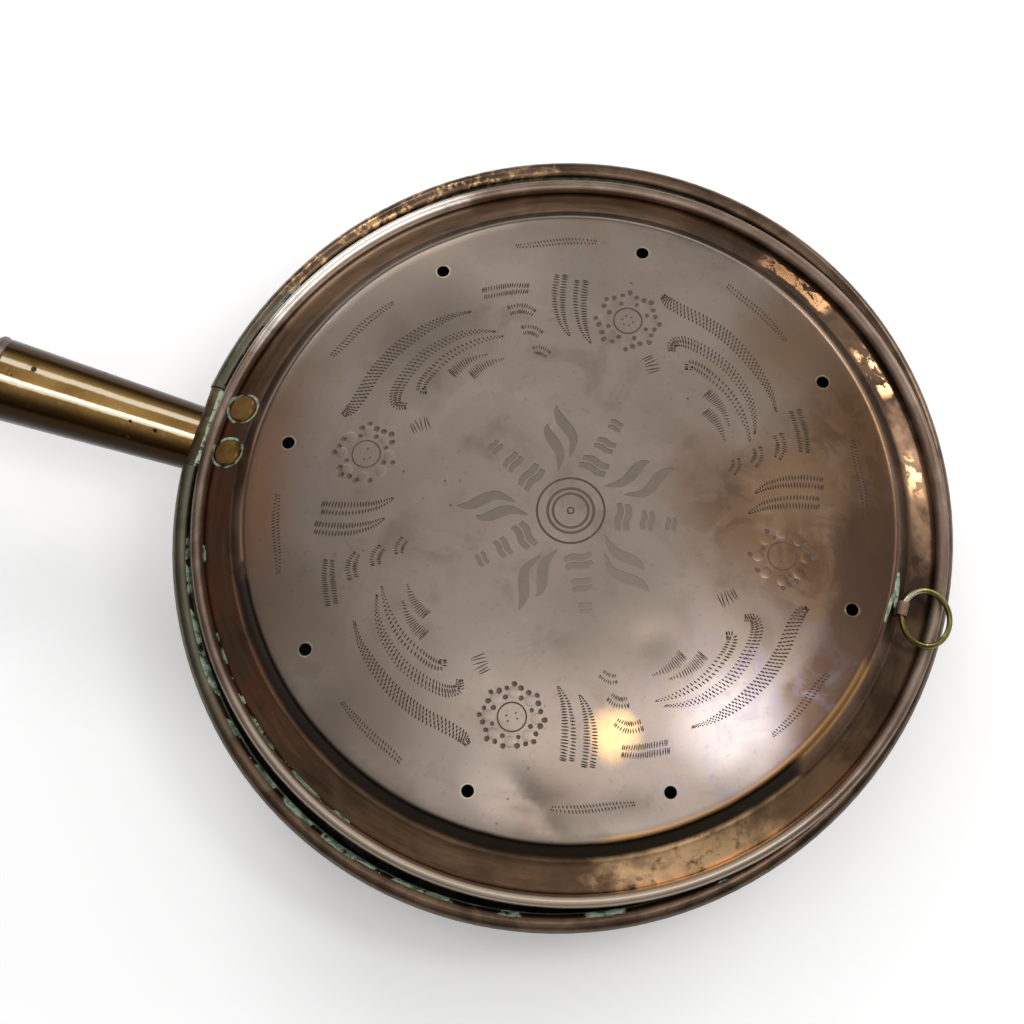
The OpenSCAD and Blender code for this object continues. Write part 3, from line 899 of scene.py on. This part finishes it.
def creaseAt(x, y):
    depth = 0.0
    here = Vector((x, y))
    for start, end, deep, reach in creases:
        start, end = Vector(start), Vector(end)
        line = end - start
        share = min(1.0, max(0.0, (here - start).dot(line) / line.length_squared))
        away = (here - start - line * share).length
        fade = 1.0 - (2 * share - 1) ** 4 * 0.6
        depth += deep * fade * math.exp(-away / reach * 2.0)
    return depth


def dentAt(x, y):
    depth = -creaseAt(x, y)
    for dx, dy, size, deep, stretch, turn in dents:
        c, s = math.cos(math.radians(turn)), math.sin(math.radians(turn))
        along = ((x - dx) * c + (y - dy) * s) / (size * stretch)
        across = ((y - dy) * c - (x - dx) * s) / size
        depth -= deep * math.exp(-2.0 * (along * along + across * across))
    for size, seat, high in unevenness:
        depth += noise.noise(Vector((x / size, y / size, seat))) * high
    return depth


def domeLid(lid, shape):
    # raise the chased sheet into its dome, with the dents of use
    edgeR = shape["panelEdge"]
    ball = shape["domeRadius"]
    edgeRise = math.sqrt(ball * ball - edgeR * edgeR)
    for vertex in lid.data.vertices:
        x, y = (vertex.co.x - lidAxis.x) / mm, vertex.co.y / mm
        r = math.hypot(x, y)
        rise = math.sqrt(ball * ball - r * r) - edgeRise if r < edgeR else 0.0
        keep = min(1.0, max(0.0, (dentFade["rim"] - r) / dentFade["rimWidth"]))
        top = min(1.0, max(0.0, r / dentFade["centreWidth"]))
        vertex.co.z += (rise + dentAt(x, y) * keep * top) * mm


lidSlots = [bpy.data.materials.new(name) for name in ("sheet", "lining", "dints", "hatching", "bosses")]


def brushSlivers(lid):
    # slivers left standing between overlapping marks are brushed away
    pickUp(lid)
    bpy.ops.object.mode_set(mode="EDIT")
    bpy.ops.mesh.select_mode(type="VERT")
    bpy.ops.mesh.select_all(action="DESELECT")
    leaveEdit()
    outermost = max(lid.data.vertices, key=lambda vertex: (vertex.co - lidAxis).xy.length)
    outermost.select = True
    bpy.ops.object.mode_set(mode="EDIT")
    bpy.ops.mesh.select_linked()
    bpy.ops.mesh.select_all(action="INVERT")
    bpy.ops.mesh.delete(type="VERT")
    leaveEdit()


def makeLid():
    lid = spinLid(lidSheet)
    inSlot(lid, 0)
    topZ = lidSheet["edgeHeight"] * mm
    work = ((raisePetals(flower), "UNION"), (chaseOrnament(), "DIFFERENCE"), (drillVents(vent), "DIFFERENCE"))
    for tool, operation in work:
        tool.data.transform(Matrix.Translation((lidAxis.x, 0, topZ)) @ Matrix.Diagonal((mm, mm, mm, 1)))
        fit(lid, "BOOLEAN", operation=operation, object=tool, solver="MANIFOLD")
        bpy.data.objects.remove(tool)
    brushSlivers(lid)
    return lid


lid = makeLid()
print("lid cut:", len(lid.data.vertices), "vertices,", len(lid.data.polygons), "faces")
domeLid(lid, lidSheet)
lid.name = "domedLid"
for face in lid.data.polygons:
    inner = face.normal.z < -0.3 and (face.center - lidAxis).xy.length < lidSheet["liningTo"] * mm
    if face.material_index == 0 and inner:
        face.material_index = 1
smooth(lid, lidSheet["sharpFrom"])
pickUp(lid)
bpy.ops.object.mode_set(mode="EDIT")
for slot in (2, 3, 4):
    bpy.ops.mesh.select_mode(type="FACE")
    bpy.ops.mesh.select_all(action="DESELECT")
    lid.active_material_index = slot
    bpy.ops.object.material_slot_select()
    bpy.ops.mesh.region_to_loop()
    bpy.ops.mesh.mark_sharp()
leaveEdit()
print("lid domed")


# the finishes of the lid

# cleaner and browner places on the panel, with painted reflections and painted shade: where and how large in
# millimetres, how strong, colour
panelPatchesAndSheen = (
    (-45, -89, 26, 0.75, (106, 94, 84)),
    (30, -106, 13, 0.6, (110, 96, 84)),
    (31, -33, 24, 0.7, (114, 102, 92)),
    (4, -103, 10, 0.7, (158, 144, 134)),
    (84, -58, 16, 0.8, (172, 162, 160)),
    (56, 61, 18, 0.5, (152, 138, 126)),
    (30, 92, 18, 0.5, (152, 138, 126)),
    (-76, 58, 24, 0.8, (96, 86, 78)),
    (-89, -63, 18, 0.6, (110, 96, 84)),
    (79, 37, 14, 0.7, (146, 118, 92)),
    (57, 92, 17, 0.7, (124, 98, 74)),
    (-17, 92, 20, 0.5, (118, 110, 104)),
)


# painted glints on the flange, paler and smoother where the window lamp's reflection falls: direction in
# degrees, half width, softness
glintPlaces = ((66.5, 6.5, 0.003), (46.5, 4.5, 0.002), (27.5, 3.2, 0.002))
# stains on the flange, and painted sheen where reflections fall: direction, half width, how strong, colour
flangeStainsAndSheen = (
    (285, 9, 0.7, (82, 62, 46)),
    (26, 5.5, 0.8, (158, 126, 100)),
    (326, 11, 0.65, (168, 132, 96)),
)
# where panel, step, flange and roll meet, in metres from the lid's centre
lidBorders = {"step": (0.1236, 0.1252), "flange": (0.1282, 0.1302), "roll": (0.1388, 0.1396)}


def copperLid():
    f = Finish("lidCopperWorn", lidAxis)
    far = f.reach(lidAxis.x, lidAxis.y)
    broad = f.cloud(70, 3, 0.55, 0.4)
    blots = f.cloud(22, 5, 0.6, 0.6)
    fine = f.cloud(5, 6, 0.65)
    specks = f.cells(9)
    ragged = f.cloud(12, 4, 0.6)

    # the domed panel: mauve grey on the handle's side, warmer towards the ring
    warm = f.step(f.reach(0.098, 0.042) + (broad - 0.5) * 0.07, 0.085, 0.02)
    panel = f.mix(warm, paint(134, 121, 111), paint(120, 92, 68))
    panel = f.mix(f.step(blots, 0.5, 0.72) * 0.5, panel, paint(150, 134, 124))
    panel = f.mix(f.step(blots, 0.48, 0.28) * 0.45, panel, paint(104, 88, 76))
    panel = f.mix(f.step(broad, 0.58, 0.72) * 0.35, panel, paint(140, 116, 96))
    edge = f.step(far + (blots - 0.5) * 0.03, 0.098, 0.12)
    # painted shade along the panel's edge where it turns away from the light: reddish to the left, darker to
    # the right
    panel = f.mix(edge * f.sector(192, 26, ragged, 0.12) * 0.8, panel, paint(128, 92, 66))
    panel = f.mix(edge * f.sector(18, 43, ragged, 0.25) * 0.75, panel, paint(100, 73, 52))
    mottled = f.step(f.cloud(16, 5, 0.65, 0.8), 0.46, 0.58)
    mottled = mottled * f.step(f.reach(0.095, 0.035) + (broad - 0.5) * 0.04, 0.062, 0.03)
    panel = f.mix(mottled * 0.45, panel, paint(82, 62, 46))
    # painted shade over the panel's right side, cutting the lamp's glare short
    shaded = f.step(far + (blots - 0.5) * 0.016, 0.098, 0.106) * f.sector(-7, 27, ragged, 0.06)
    panel = f.mix(shaded * 0.85, panel, paint(86, 65, 53))
    # painted shade on the upper left edge
    panel = f.mix(edge * f.sector(140, 34, ragged, 0.15) * 0.75, panel, paint(98, 88, 78))
    # tone, and painted reflections and shade, in patches
    for x, y, size, share, tone in panelPatchesAndSheen:
        panel = f.mix(f.blot(x, y, size, broad, 0.7) * share, panel, paint(*tone))

    # fire colours where the panel is bright, a painted orange reflection, and fine specks all over
    bright = f.blot(88, -52, 36, broad, 0.5)
    panel = f.mix(bright * f.step(f.cloud(13, 4, 0.6, 0.9), 0.46, 0.66) * 0.4, panel, paint(128, 118, 134))
    panel = f.mix(f.blot(43, -76, 8, ragged, 0.6) * 0.8, panel, paint(242, 196, 140))
    panel = f.mix(f.step(f.cloud(2.4, 3, 0.6), 0.6, 0.7) * 0.22, panel, paint(94, 80, 68))
    # a painted highlight along the bend at the panel's edge
    edgeHighlight = f.step(far, 0.1208, 0.1220) * f.sector(322, 30, ragged)
    panel = f.mix(edgeHighlight * 0.7, panel, paint(188, 138, 84))

    # the flange is browner, with reddish places and painted golden reflections and glints
    streaks = f.rings(2.2, far)
    flange = f.parted(blots, 0.35, 0.7, (100, 78, 58), (122, 97, 74))
    flange = f.mix(f.step(streaks, 0.5, 0.66) * 0.45, flange, paint(142, 106, 80))
    flange = f.mix(f.step(streaks, 0.46, 0.32) * 0.45, flange, paint(66, 50, 40))
    tarnish = f.sector(35, 50, ragged, 0.2)
    flange = f.mix(tarnish, flange, f.parted(blots, 0.4, 0.65, (54, 40, 30), (88, 68, 52)))
    reddish = f.sector(205, 34, ragged) * f.step(blots, 0.35, 0.6)
    flange = f.mix(reddish * 0.7, flange, paint(122, 74, 56))
    # stains, and painted sheen, on the flange
    for turn, wide, share, tone in flangeStainsAndSheen:
        flange = f.mix(f.sector(turn, wide, ragged) * share, flange, paint(*tone))
    # a painted golden reflection on the near side of the flange
    goldReflection = f.sector(306, 10, ragged) * f.step(fine, 0.3, 0.5)
    flange = f.mix(goldReflection, flange, paint(246, 200, 150))
    # painted glints in the middle band of the flange
    first, second, third = (f.sector(turn, wide, None, soft) for turn, wide, soft in glintPlaces)
    glints = first + second + third
    glints = glints * f.step(far + (blots - 0.5) * 0.006, 0.1296, 0.1312)
    glints = glints * f.step(far + (ragged - 0.5) * 0.006, 0.1372, 0.1356)
    glints = glints * f.step(f.cloud(7, 5, 0.7, 0.6), 0.45, 0.56)
    flange = f.mix(glints, flange, paint(236, 176, 124))
    step = f.parted(blots, 0.35, 0.65, (66, 48, 34), (98, 76, 58))
    # painted shade: the step wall nearly black on the near side
    shadedStepSide = f.sector(268, 62, ragged)
    step = f.mix(shadedStepSide * 0.95, step, paint(21, 13, 5))
    roll = f.parted(blots, 0.4, 0.65, (116, 97, 83), (138, 120, 106))
    roll = f.mix(f.step(fine, 0.62, 0.72) * 0.5, roll, paint(150, 108, 80))
    roll = f.mix(f.step(streaks, 0.5, 0.36) * 0.4, roll, paint(84, 66, 54))
    # a painted highlight on the roll and the flange's outer edge to the upper left
    upperLeftHighlight = f.sector(143, 18, ragged, 0.04)
    flange = f.mix(upperLeftHighlight * f.step(far, 0.1358, 0.1376) * 0.75, flange, paint(186, 168, 150))
    roll = f.mix(upperLeftHighlight * 0.9, roll, paint(232, 222, 212))
    roll = f.mix(f.sector(275, 50, ragged, 0.1) * 0.7, roll, paint(172, 156, 138))

    wander = far + (blots - 0.5) * 0.0012 + shadedStepSide * 0.0016
    colour = f.mix(f.step(wander, *lidBorders["step"]), panel, step)
    colour = f.mix(f.step(wander, *lidBorders["flange"]), colour, flange)
    colour = f.mix(f.step(far, *lidBorders["roll"]), colour, roll)

    # soot-dark pits and pinholes
    pits = f.step(specks, 0.08, 0.03) * f.step(broad, 0.5, 0.6)
    colour = f.mix(pits * 0.6, colour, paint(52, 40, 30))

    # a pale rim round each vent
    for i, slip in enumerate(vent["slips"]):
        turn = math.radians(45 * i + slip)
        ventX, ventY = lidAxis.x + vent["ring"] * mm * math.cos(turn), vent["ring"] * mm * math.sin(turn)
        rim = f.step(f.reach(ventX, ventY) + (fine - 0.5) * 0.0024, 0.0032, 0.0026)
        colour = f.mix(rim * f.step(ragged, 0.36, 0.6) * 0.85, colour, paint(162, 158, 134))

    # verdigris: in the crease under the roll, round the rivets and by the strap
    crease = f.step(far, 0.1379, 0.1386) * f.step(far, 0.1398, 0.1391) * f.step(ragged, 0.52, 0.6)
    crease = crease * (f.sector(228, 30) + 0.25)
    green = crease
    low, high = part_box("hinge_rivets")
    for side in (low.y + 0.0054, high.y - 0.0054):
        ring = f.reach((low.x + high.x) / 2, side) + (ragged - 0.5) * 0.0012
        ring = f.step(ring, 0.0053, 0.0057) * f.step(ring, 0.0066, 0.0061)
        green = green + ring * f.step(fine, 0.36, 0.5)
    strapLow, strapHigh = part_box("ring_strap")
    smear = f.streak(strapLow.x / mm + 1.0, strapHigh.y / mm + 3.5, 7.5, 1.1, 100, ragged)
    smear = smear + f.streak(strapLow.x / mm + 0.2, strapLow.y / mm + 1, 7, 0.8, 90, ragged)
    green = green + smear
    green = f.step(green, 0.25, 0.7)
    greenPaint = f.mix(f.step(fine, 0.4, 0.6), verdigrisDark, verdigris)
    colour = f.mix(green, colour, greenPaint)

    rough = 0.32 + (blots - 0.5) * 0.08 + (fine - 0.5) * 0.03
    rough = rough + tarnish * f.step(far, 0.128, 0.130) * 0.16 - glints * 0.24
    rough = rough + f.step(far, 0.1388, 0.1394) * 0.03 + green * 0.45
    return f.wear(colour, rough, 0.95 - green * 0.9)


def copperChased():
    f = Finish("lidCopperChased")
    fine = f.cloud(3, 4, 0.6)
    return f.wear(f.mix(fine, paint(106, 96, 86), paint(122, 111, 101)), 0.42, 0.9)


def copperDints():
    f = Finish("lidCopperDints")
    fine = f.cloud(3, 4, 0.6)
    return f.wear(f.mix(fine, paint(76, 64, 56), paint(104, 90, 80)), 0.5, 0.85)


def tinLining():
    f = Finish("tinLining")
    blots = f.cloud(16, 5, 0.65, 0.5)
    fine = f.cloud(3, 4, 0.6)
    colour = f.parted(blots, 0.35, 0.65, (92, 86, 78), (138, 134, 126))
    colour = f.mix(f.step(f.cells(14), 0.2, 0.05) * 0.6, colour, paint(60, 48, 38))
    return f.wear(colour, 0.5 + (fine - 0.5) * 0.2, 0.85, f.bump(fine, 0.0002))


lidFinishes = (copperLid(), tinLining(), copperDints(), copperChased())
for slot, material in enumerate((*lidFinishes, lidFinishes[0])):
    lid.data.materials[slot] = material
for material in lidSlots:
    bpy.data.materials.remove(material)
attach(lid, "lid")
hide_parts("lid")
print("lid finished")


# finishes of the parts kept from the frame

# flakes of verdigris on the pan's roll: where and how large, in millimetres
flakePlaces = (
    (-112, -91, 6.5),
    (25, -147, 4.5),
    (60, -137, 8),
    (99, -112, 3.6),
    (-43, -140, 7),
    (-62, -129, 6),
)


def copperPan():
    f = Finish("panCopperWorn")
    broad = f.cloud(60, 3, 0.55, 0.4)
    blots = f.cloud(18, 5, 0.62, 0.6)
    fine = f.cloud(4, 6, 0.65)
    ragged = f.cloud(9, 4, 0.6)
    normal = f.add("ShaderNodeNewGeometry", out="Normal")
    colour = f.parted(blots, 0.35, 0.68, (92, 70, 56), (128, 98, 78))
    colour = f.mix(f.step(broad, 0.5, 0.7) * 0.5, colour, paint(112, 70, 50))
    colour = f.mix(f.step(fine, 0.6, 0.7) * 0.4, colour, paint(164, 130, 104))
    rim = f.parted(blots, 0.35, 0.65, (66, 52, 40), (100, 80, 64))
    # below the roll's top the rim is duller and grey green, partly crust and partly painted light lifting the
    # shade in the gap
    underRollLift = f.step(f.z, 0.0725, 0.0705)
    rim = f.mix(underRollLift * 0.9, rim, paint(78, 74, 58))
    rim = f.mix(f.sector(192, 34, ragged, 0.1) * 0.5, rim, paint(102, 106, 90))
    # painted highlight: golden streaks on the roll to the upper left
    rimHighlight = f.sector(132, 20, ragged, 0.05) * f.step(fine, 0.5, 0.62)
    rim = f.mix(rimHighlight * 0.8, rim, paint(196, 158, 112))
    colour = f.mix(f.step(f.z, 0.0655, 0.0668), colour, rim)
    sooty = f.step(f.z, 0.03, 0.0) * f.step(blots, 0.3, 0.6)
    colour = f.mix(sooty * 0.75, colour, paint(48, 38, 32))

    # the hollow is tinned: its faces look up or to the middle
    toMiddle = f.vector("NORMALIZE", f.vector("MULTIPLY", f.place, (-1, -1, 0)))
    inward = f.vector("DOT_PRODUCT", normal, toMiddle, "Value")
    upward = f.partOf(normal, "Z")
    inside = f.step(inward + f.step(upward, 0.3, 0.5), 0.2, 0.4) * f.step(f.z, 0.0668, 0.0655)
    tin = f.parted(blots, 0.35, 0.65, (80, 74, 66), (130, 126, 118))
    colour = f.mix(inside, colour, tin)

    # the inner side of the roll is crusted grey green, painted pale to lift the shade in the gap
    crustLift = f.step(inward, 0.35, 0.6) * f.step(f.z, 0.0655, 0.0668) * f.step(f.z, 0.0728, 0.0718)
    crustLiftColour = f.parted(fine, 0.4, 0.6, (104, 106, 88), (140, 148, 128))
    colour = f.mix(crustLift * 0.9, colour, crustLiftColour)

    # verdigris on the roll: a thin line along its inner side and flakes in places
    far = f.vector("LENGTH", f.vector("MULTIPLY", f.place, (1.0345, 1.0, 0)), None, "Value")
    top = f.step(f.z, 0.0695, 0.0715)
    line = f.step(far + (fine - 0.5) * 0.001, 0.1484, 0.1478) * f.step(f.z, 0.0695, 0.0708)
    line = line * f.step(ragged, 0.46, 0.56)
    line = line * (f.sector(235, 38, ragged) + f.sector(165, 14, ragged))
    flakes = f.blot(*flakePlaces[0], ragged)
    for place in flakePlaces[1:]:
        flakes = flakes + f.blot(*place, ragged)
    flakes = flakes * f.step(far + (fine - 0.5) * 0.002, 0.1494, 0.1482) * top * f.step(fine, 0.36, 0.46)
    green = f.step(line + flakes, 0.25, 0.7)
    colour = f.mix(green, colour, f.mix(f.step(fine, 0.4, 0.6), verdigrisDark, verdigris))

    underRollLift = underRollLift * f.step(f.z, 0.0655, 0.0668)
    underRollLift = f.add("ShaderNodeMath", {"operation": "MAXIMUM"}, {0: underRollLift, 1: crustLift})
    rough = 0.32 + (blots - 0.5) * 0.2 + green * 0.5 + inside * 0.15 + underRollLift * 0.25
    height = f.cells(11, None, "SMOOTH_F1") * 0.5 + fine * 0.3 + green * 0.8
    return f.wear(colour, rough, 0.95 - green * 0.9 - underRollLift * 0.75, f.bump(height, 0.0003))


def oldBrass(name, plain, pale, dark, pitting, shine):
    f = Finish(name)
    blots = f.cloud(14, 5, 0.6, 0.5, f.stretched((0.35, 1, 1)))
    fine = f.cloud(2.5, 5, 0.65)
    scratch = f.cloud(3, 3, 0.7, 0, f.stretched((0.08, 1, 1)))
    colour = f.parted(blots, 0.35, 0.65, dark, plain)
    colour = f.mix(f.step(fine, 0.55, 0.75) * 0.6, colour, paint(*pale))
    if name == "socketBrass":
        # painted highlights along two ridges where the lamps' strips fall, and painted shade down the sides
        facing = f.add("ShaderNodeNewGeometry", out="Normal")
        aside = f.partOf(facing, "Y") + (blots - 0.5) * 0.08
        for middle, wide, fade in ((0.2, 0.11, 0.07), (-0.26, 0.10, 0.05)):
            ridgeHighlight = f.step(f.apart(aside, middle) + (fine - 0.5) * 0.06, wide, wide - fade)
            colour = f.mix(ridgeHighlight * 0.85, colour, paint(232, 216, 188))
        # painted shade: darker down the sides
        colour = f.mix(f.step(f.apart(aside, -0.04), 0.3, 0.62), colour, paint(70, 48, 20))
        colour = f.mix(f.step(f.apart(aside, -0.02), 0.62, 0.9), colour, paint(40, 27, 10))
    if name == "hingeBrass":
        # verdigris in the seam beside the lid
        seam = f.step(f.x + (blots - 0.5) * 0.0014, -0.1434, -0.1429)
        seam = seam * f.step(f.x, -0.1410, -0.1416) * f.step(f.z, 0.070, 0.0715)
        colour = f.mix(seam * f.step(fine, 0.36, 0.48) * 0.9, colour, verdigris)
    if name == "ringBrass":
        # a whitened length of the lift ring
        colour = f.mix(f.blot(134.5, 11.5, 6, blots, 0.4) * 0.7, colour, paint(196, 194, 166))
    pits = f.step(f.cells(7), 0.15, 0.06) * f.step(f.cloud(20, 2), 0.5, 0.56) * pitting
    colour = f.mix(pits, colour, paint(44, 30, 16))
    colour = f.mix(f.step(f.cloud(30, 5, 0.7), 0.62, 0.7) * 0.3, colour, verdigrisDark)
    rough = shine + (blots - 0.5) * 0.14 + (scratch - 0.5) * 0.12 + pits * 0.3
    height = fine * 0.2 + scratch * 0.25 - pits * 1.0
    return f.wear(colour, rough, 0.95, f.bump(height, 0.0002))


def turnedWood():
    f = Finish("turnedWood")
    along = f.stretched((0.06, 1, 1))
    grain = f.cloud(3.2, 6, 0.6, 0.8, along)
    pores = f.cloud(0.9, 3, 0.7, 0, f.stretched((0.05, 1, 1)))
    broad = f.cloud(50, 3, 0.5)
    colour = f.parted(grain, 0.35, 0.68, (52, 25, 18), (92, 50, 33))
    colour = f.mix(f.step(broad, 0.45, 0.7) * 0.5, colour, paint(70, 34, 22))
    colour = f.mix(f.step(pores, 0.6, 0.72) * 0.6, colour, paint(26, 13, 9))
    f.shader.inputs["Coat Weight"].default_value = 0.25
    f.shader.inputs["Coat Roughness"].default_value = 0.22
    return f.wear(colour, 0.42 + (grain - 0.5) * 0.15, 0.0, f.bump(grain * 0.5 - pores * 0.5, 0.00012))


def darkIron():
    f = Finish("darkIron")
    blots = f.cloud(6, 5, 0.65, 0.5)
    colour = f.parted(blots, 0.35, 0.7, (44, 38, 34), (84, 62, 48))
    return f.wear(colour, 0.55 + (blots - 0.5) * 0.2, 0.7, f.bump(blots, 0.0002))


# plain, pale and dark colour, how pitted, how rough, and the nodes that wear it
brasses = {
    "rivetBrass": ((158, 120, 66), (178, 140, 84), (136, 100, 54), 0.4, 0.4, "hinge_rivets", "plate_rivets"),
    "ringBrass": (
        (118, 112, 60), (168, 166, 112), (78, 70, 34), 0.5, 0.3, "lift_ring", "hanging_eye", "hanging_ring",
    ),
    "plateBrass": ((132, 102, 56), (164, 132, 82), (98, 72, 36), 1.0, 0.32, "socket_plate"),
    "socketBrass": ((146, 114, 64), (178, 146, 96), (116, 86, 44), 1.4, 0.2, "socket"),
    "strapBrass": ((140, 116, 98), (168, 164, 144), (104, 84, 66), 0.3, 0.45, "ring_strap"),
    "roveCopper": ((112, 82, 62), (140, 108, 84), (70, 50, 38), 0.4, 0.4, "hinge_roves", "plate_roves"),
    "hingeBrass": ((104, 88, 64), (138, 128, 104), (70, 58, 40), 0.5, 0.42, "hinge_leaf"),
}


def dress(material, *names):
    for name in names:
        for slot in nodes[name].material_slots:
            slot.material = material


dress(copperPan(), "pan_bowl")
dress(darkIron(), "pan_rim_wire", "lid_rim_wire", "hinge_pin", "handle_nail")
for name, (plain, pale, dark, pitting, shine, *wearers) in brasses.items():
    dress(oldBrass(name, plain, pale, dark, pitting, shine), *wearers)
dress(turnedWood(), "handle")
print("frame parts finished")
